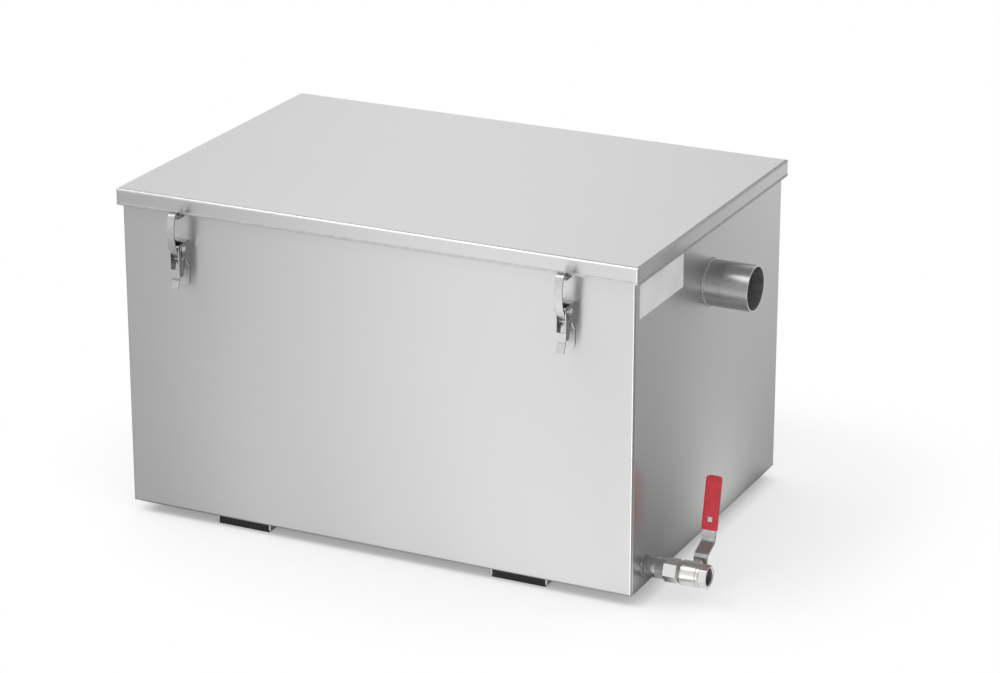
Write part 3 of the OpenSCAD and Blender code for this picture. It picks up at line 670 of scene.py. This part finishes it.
# The lamp: place, the point that it looks at, width, height and power
LAMP_PLACE = Vector((-0.9, -1.1, 2.3))
LAMP_TARGET = Vector((0.0, 0.0, 0.1))
LAMP_WIDTH = 1.6
LAMP_HEIGHT = 1.0
LAMP_POWER = 14.0


def lamp():
    """A wide soft lamp above and to the front left, which lays the shadow to the right."""
    panel = bpy.data.lights.new("top_panel", "AREA")
    panel.shape = "RECTANGLE"
    panel.size, panel.size_y = LAMP_WIDTH, LAMP_HEIGHT
    panel.energy = LAMP_POWER
    put("top_panel", panel, LAMP_PLACE, LAMP_TARGET - LAMP_PLACE)


class Light:
    """Short calls for the nodes of the floor and the room."""

    def __init__(self, tree):
        self.tree = tree
        self.rays = tree.nodes.new("ShaderNodeLightPath").outputs

    def math(self, operation, *values):
        made = self.tree.nodes.new("ShaderNodeMath")
        made.operation = operation
        for socket, value in zip(made.inputs, values):
            if isinstance(value, bpy.types.NodeSocket):
                self.tree.links.new(value, socket)
            else:
                socket.default_value = value
        return made.outputs[0]

    def degrees(self, a, b):
        """The angle of a direction from b towards a."""
        return self.math("MULTIPLY", self.math("ARCTAN2", a, b), 180 / math.pi)

    def length(self, a, b):
        """The length of a line with sides a and b."""
        squares = self.math("ADD", self.math("MULTIPLY", a, a), self.math("MULTIPLY", b, b))
        return self.math("SQRT", squares)

    def split(self, vector):
        made = self.tree.nodes.new("ShaderNodeSeparateXYZ")
        self.tree.links.new(vector, made.inputs[0])
        return made.outputs

    def ramp(self, value, stops):
        """A level that runs smoothly through (place, level) stops."""
        low, high = stops[0][0], stops[-1][0]
        made = self.tree.nodes.new("ShaderNodeValToRGB")
        made.color_ramp.interpolation = "EASE"
        points = made.color_ramp.elements
        points[0].color, points[1].color = grey(stops[0][1]), grey(stops[-1][1])
        for place, level in stops[1:-1]:
            points.new((place - low) / (high - low)).color = grey(level)
        span = self.math("DIVIDE", self.math("SUBTRACT", value, low), high - low)
        self.tree.links.new(span, made.inputs[0])
        return made.outputs[0]

    def choose(self, factor, a, b):
        """a where the factor is 0, b where it is 1."""
        first = self.math("MULTIPLY", self.math("SUBTRACT", 1.0, factor), a)
        return self.math("ADD", first, self.math("MULTIPLY", factor, b))

    def mirrored(self):
        """1 for light that reaches the eye by way of metal or glass."""
        return self.math("MAXIMUM", self.rays["Is Glossy Ray"], self.rays["Is Transmission Ray"])


# The floor reaches this far from the middle each way; its darkest and lightest tone
FLOOR_REACH = 14.0
FLOOR_TONES = (0.91, 0.94)
# Half the length and width of the ground that the tank covers
COVERED = (0.29, 0.19)
# How white the camera sees the floor even in the shadow, by the distance from the covered ground
PAPER_GLOW = [(0.0, 0.26), (0.012, 0.5), (0.13, 0.5), (0.3, 1.0)]
# Painted shadow beside and under the tank in the floor's glow that metal mirrors: how much of that glow
# is left, by the distance from the covered ground
UNDER_PAINTED_SHADOW = [(0.0, 0.12), (0.008, 0.2), (0.03, 1.0)]
# What the front wall mirrors: brightness of the floor across the line of sight, left to right
FRONT_ACROSS = (0.901, -0.434)
FRONT_STRIPS = [(-0.9, 0.5), (-0.42, 0.47), (-0.3, 0.44), (-0.1, 0.72), (0.03, 0.87), (0.12, 0.99),
                (0.2, 1.04), (0.28, 0.98), (0.37, 0.82), (0.6, 0.6)]
# Less than this far in front of the tank's middle, the strips lean to the right by this share
LEAN_FROM = 0.72
FRONT_LEAN = 0.2
# What the right wall mirrors close to it and further out, from back to front
RIGHT_ACROSS = (0.927, -0.375)
RIGHT_NEAR = [(-0.6, 0.9), (0.12, 0.4), (0.21, 0.42), (0.265, 0.85), (0.295, 0.4), (0.335, 0.12),
              (0.38, 0.5), (0.9, 0.5)]
RIGHT_OUT = [(-0.6, 1.1), (0.12, 1.05), (0.2, 0.95), (0.238, 0.68), (0.255, 0.95), (0.27, 1.25),
             (0.285, 0.9), (0.3, 0.5), (0.34, 0.36), (0.9, 0.36)]
# Share of the strips further out by the place along X
RIGHT_SHARE = [(0.34, 0.0), (0.55, 0.35), (0.73, 1.0)]
# The tank's front right corner, and what its upright fold mirrors: degrees from the front to the right
CORNER = (0.29, -0.2)
CORNER_TURNS = [(-22, 1.1), (-14, 1.85), (24, 1.85), (34, 0.12), (104, 0.12)]
# The same degrees where the front's strips give way to the corner, and the corner to the right's strips
FRONT_TO_CORNER = [(-24, 0.0), (-16, 1.0)]
CORNER_TO_RIGHT = [(108, 0.0), (118, 1.0)]
# Share of one even level by the distance from the corner, and that level
CORNER_FAR = [(1.15, 0.0), (1.5, 1.0)]
FAR_LEVEL = 0.95
# A painted bright patch in the floor's glow close under the valve, which the valve mirrors: its middle
# along X, its level and its share by the distance
PATCH_X = 0.39
PATCH_LEVEL = 0.85
PATCH = [(0.06, 1.0), (0.1, 0.0)]


def outside(light, x, y):
    """Distance from the ground that the tank covers."""
    gaps = []
    for value, half in ((x, COVERED[0]), (y, COVERED[1])):
        beyond = light.math("SUBTRACT", light.math("ABSOLUTE", value), half)
        gaps.append(light.math("MAXIMUM", beyond, 0.0))
    return light.length(*gaps)


def strips(light, x, y, direction, lean, stops):
    """Brightness in strips across a direction; lean shifts them where the floor is near the wall."""
    near_wall = light.math("MAXIMUM", light.math("ADD", y, LEAN_FROM), 0.0)
    across = light.math("ADD", light.math("MULTIPLY", x, direction[0]),
                        light.math("MULTIPLY", y, direction[1]))
    return light.ramp(light.math("SUBTRACT", across, light.math("MULTIPLY", near_wall, lean)), stops)


def floor_level(light, x, y, away):
    """Glow of the floor in reflections: painted light and painted shade in bright and darker strips that
    stand in for studio panels, a painted bright patch under the valve and a painted shadow at the tank.
    """
    front = strips(light, x, y, FRONT_ACROSS, FRONT_LEAN, FRONT_STRIPS)
    near = strips(light, x, y, RIGHT_ACROSS, 0.0, RIGHT_NEAR)
    out = strips(light, x, y, RIGHT_ACROSS, 0.0, RIGHT_OUT)
    right = light.choose(light.ramp(x, RIGHT_SHARE), near, out)
    right_by, front_by = light.math("SUBTRACT", x, CORNER[0]), light.math("SUBTRACT", CORNER[1], y)
    turn = light.degrees(right_by, front_by)
    far = light.ramp(light.length(right_by, front_by), CORNER_FAR)
    corner = light.choose(far, light.ramp(turn, CORNER_TURNS), FAR_LEVEL)
    level = light.choose(light.ramp(turn, FRONT_TO_CORNER), front, corner)
    level = light.choose(light.ramp(turn, CORNER_TO_RIGHT), level, right)
    beside = light.length(light.math("SUBTRACT", x, PATCH_X), light.math("SUBTRACT", y, DRAIN.y))
    level = light.choose(light.ramp(beside, PATCH), level, PATCH_LEVEL)
    # The painted shadow at the tank darkens the glow
    return light.math("MULTIPLY", level, light.ramp(away, UNDER_PAINTED_SHADOW))


def floor_paper():
    """The floor's material: matt paper that the camera sees whitened, and metal mirrors in strips."""
    shade = Shade("floor_paper")
    fibres = shade.noise(scale=400.0, rough=0.6)
    dark, pale = FLOOR_TONES
    shade.set(color=shade.tint(fibres, grey(dark), grey(pale)), rough=0.9, specular=0.0,
              normal=shade.bump(fibres, strength=0.1, distance=0.05 * MM))
    light = Light(shade.tree)
    x, y, _ = light.split(shade.place)
    away = outside(light, x, y)
    mirrored = light.mirrored()
    glow = shade.node("ShaderNodeEmission")
    shade.feed(glow.inputs["Strength"], light.choose(mirrored, 1.0, floor_level(light, x, y, away)))
    seen = light.math("MULTIPLY", light.ramp(away, PAPER_GLOW), light.rays["Is Camera Ray"])
    mix = shade.node("ShaderNodeMixShader")
    shade.feed(mix.inputs[0], light.math("MAXIMUM", mirrored, seen))
    shade.feed(mix.inputs[1], shade.bsdf.outputs[0])
    shade.feed(mix.inputs[2], glow.outputs[0])
    shade.feed(shade.tree.nodes["Material Output"].inputs["Surface"], mix.outputs[0])
    return shade.material


def floor():
    """A pale floor that keeps the shadow near the object and turns white further out."""
    r = FLOOR_REACH
    mesh = bpy.data.meshes.new("floor")
    mesh.from_pydata([(-r, -r, 0), (r, -r, 0), (r, r, 0), (-r, r, 0)], [], [(0, 1, 2, 3)])
    mesh.materials.append(floor_paper())
    made = bpy.data.objects.new("floor", mesh)
    bpy.context.scene.collection.objects.link(made)


# The room as the metal mirrors it: direction from the back (0) through the right (90), and brightness
ROOM = [(-180, 0.85), (-168, 0.9), (-158, 1.0), (-150, 1.0), (-143, 0.4), (-120, 0.35), (-80, 0.6),
        (-45, 0.85), (-36, 0.92), (-31, 1.06), (-27, 1.2), (-22, 1.06), (-17, 0.9), (-6, 0.6), (2, 0.5),
        (34, 0.42), (70, 0.3), (158, 0.3), (166, 0.85), (180, 0.85)]
# Brightness straight above, and its share by the height of the direction
ROOM_TOP = 0.22
TOP_SHARE = [(0.5, 0.0), (0.8, 1.0)]
# The even light that reaches matt things
ROOM_EVEN = 1.05


def room_light():
    """Light from the room: bright and dark panels for the metal, even light for everything matt."""
    world = bpy.data.worlds.new("room")
    bpy.context.scene.world = world
    world.use_nodes = True
    light = Light(world.node_tree)
    place = world.node_tree.nodes.new("ShaderNodeTexCoord").outputs["Generated"]
    x, y, z = light.split(place)
    panels = light.ramp(light.degrees(x, y), ROOM)
    level = light.choose(light.ramp(z, TOP_SHARE), panels, ROOM_TOP)
    level = light.choose(light.mirrored(), ROOM_EVEN, level)
    level = light.choose(light.rays["Is Camera Ray"], level, 1.0)
    back = world.node_tree.nodes["Background"]
    back.inputs["Color"].default_value = grey(1.0)
    world.node_tree.links.new(level, back.inputs["Strength"])


dress_cad_nodes()
threaded_nipple()
mouth_thread()
weld_ring("weld_outlet", Vector((WALL_RIGHT, 0, PIPE_Z)), PIPE_R, ripples=110, seed=3)
weld_ring("weld_inlet", Vector((WALL_LEFT, 0, PIPE_Z)), PIPE_R, ripples=110, seed=4, side=-1)
weld_ring("weld_drain", DRAIN, NIPPLE_R, ripples=48, seed=5)
lid_hem()
spot_marks()
sticker()
camera()
floor()
room_light()
lamp()

bpy.context.scene.view_settings.view_transform = "Standard"
